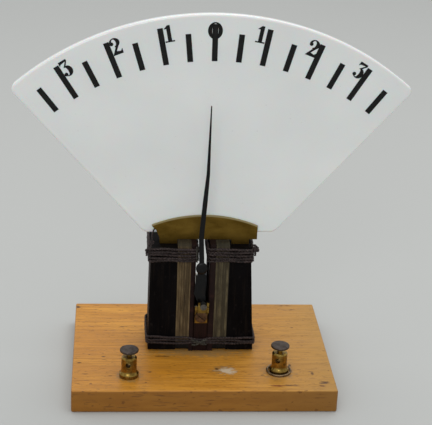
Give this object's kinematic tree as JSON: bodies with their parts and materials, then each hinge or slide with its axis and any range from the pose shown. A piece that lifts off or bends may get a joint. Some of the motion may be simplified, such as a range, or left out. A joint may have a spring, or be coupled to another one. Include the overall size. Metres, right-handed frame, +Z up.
{
  "type": "demonstration galvanometer",
  "caption": "Upright demonstration galvanometer: split coil with a swinging magnet, long needle before a milk-glass sector scale, wooden board, brass binding posts.",
  "frame": {"origin": "middle of the wooden board's underside", "axes": "+X to the reader's right along the board's length, +Y from the posts to the back, +Z up"},
  "size_m": [0.2066, 0.101, 0.2007],
  "materials": {
    "board_wood": "varnished, worn",
    "bearing_wood": "stained dark red brown",
    "pressboard": "shellacked, dark red brown",
    "cotton_wire": "cotton-covered wire, tan",
    "wound_core": "inner turns",
    "black_cloth": "black bookcloth",
    "lashing_cord": "waxed dark cord",
    "brass_aged": "aged, lacquered",
    "brass_dull": "dull, tarnished",
    "screw_copper": "bronze screw, worn",
    "bronzed_head": "dark bronzed",
    "steel_bright": "turned",
    "magnet_steel": "hardened steel",
    "needle_black": "black lacquered",
    "boss_black": "black lacquered",
    "milk_glass": "opal, ground edges",
    "black_print": "fired black print",
    "copper_wire": "tarnished copper wire",
    "rubber_lead": "rubber-covered lead"
  },
  "bodies": {
    "stand": {"base_board": "board_wood", "front_bearing_block": "bearing_wood", "rear_bearing_block": "bearing_wood", "coil_former_left": "pressboard", "coil_former_right": "pressboard", "coil_end_left": "pressboard", "coil_end_right": "pressboard", "bare_winding_left": "cotton_wire", "bare_winding_right": "cotton_wire", "winding_core_left": "wound_core", "winding_core_right": "wound_core", "covered_winding_left": "wound_core", "covered_winding_right": "wound_core", "coil_cover_left": "black_cloth", "coil_cover_right": "black_cloth", "top_lashing_left": "lashing_cord", "top_lashing_right": "lashing_cord", "foot_lashing": "lashing_cord", "lashing_knot_left": "lashing_cord", "lashing_knot_right": "lashing_cord", "front_bearing_bracket": "brass_dull", "rear_bearing_bracket": "brass_dull", "front_bracket_screw": "screw_copper", "rear_bracket_screw": "screw_copper", "scale_glass": "milk_glass", "scale_marks": "black_print", "scale_numerals": "black_print", "scale_holder_front": "brass_aged", "scale_holder_rear": "brass_aged", "holder_spacer": "brass_aged", "holder_screws": "screw_copper", "holder_pins": "steel_bright", "post_left": "brass_dull", "post_right": "brass_dull", "post_nuts": "brass_dull", "post_washers": "brass_dull", "coil_screws": "steel_bright", "lead_left": "rubber_lead", "lead_right": "rubber_lead", "wire_hoop": "copper_wire"},
    "pointer": {"pointer_axle": "steel_bright", "front_journal": "steel_bright", "rear_journal": "steel_bright", "needle_hub": "boss_black", "needle": "needle_black", "needle_boss": "boss_black", "magnet_bar": "magnet_steel"},
    "clamp_left_shank": {"clamp_screw_left": "brass_dull"},
    "clamp_left_head": {"clamp_head_left": "bronzed_head"},
    "clamp_right_shank": {"clamp_screw_right": "brass_dull"},
    "clamp_right_head": {"clamp_head_right": "bronzed_head"}
  },
  "joints": [
    {"name": "needle_swing", "type": "hinge", "parent": "stand", "child": "pointer", "pos_m": [0, 0.0055, 0.043], "axis": [0, 1, 0], "range_deg": [-37.5, 37.5]},
    {"name": "clamp_left_rise", "type": "slide", "parent": "stand", "child": "clamp_left_shank", "axis": [0, 0, 1], "range_m": [-0.00166, 0.00149]},
    {"name": "clamp_left_turn", "type": "hinge", "parent": "clamp_left_shank", "child": "clamp_left_head", "pos_m": [-0.0399, -0.0343, 0.0276], "axis": [0, 0, 1], "range_deg": [-1200, 1080]},
    {"name": "clamp_right_rise", "type": "slide", "parent": "stand", "child": "clamp_right_shank", "axis": [0, 0, 1], "range_m": [-0.00166, 0.00149]},
    {"name": "clamp_right_turn", "type": "hinge", "parent": "clamp_right_shank", "child": "clamp_right_head", "pos_m": [0.0407, -0.0295, 0.0276], "axis": [0, 0, 1], "range_deg": [-1200, 1080]}
  ],
  "couplings": [
    {"joint": "clamp_left_turn", "follows": "clamp_left_rise", "rad_per_m": 12566},
    {"joint": "clamp_right_turn", "follows": "clamp_right_rise", "rad_per_m": 12566}
  ]
}
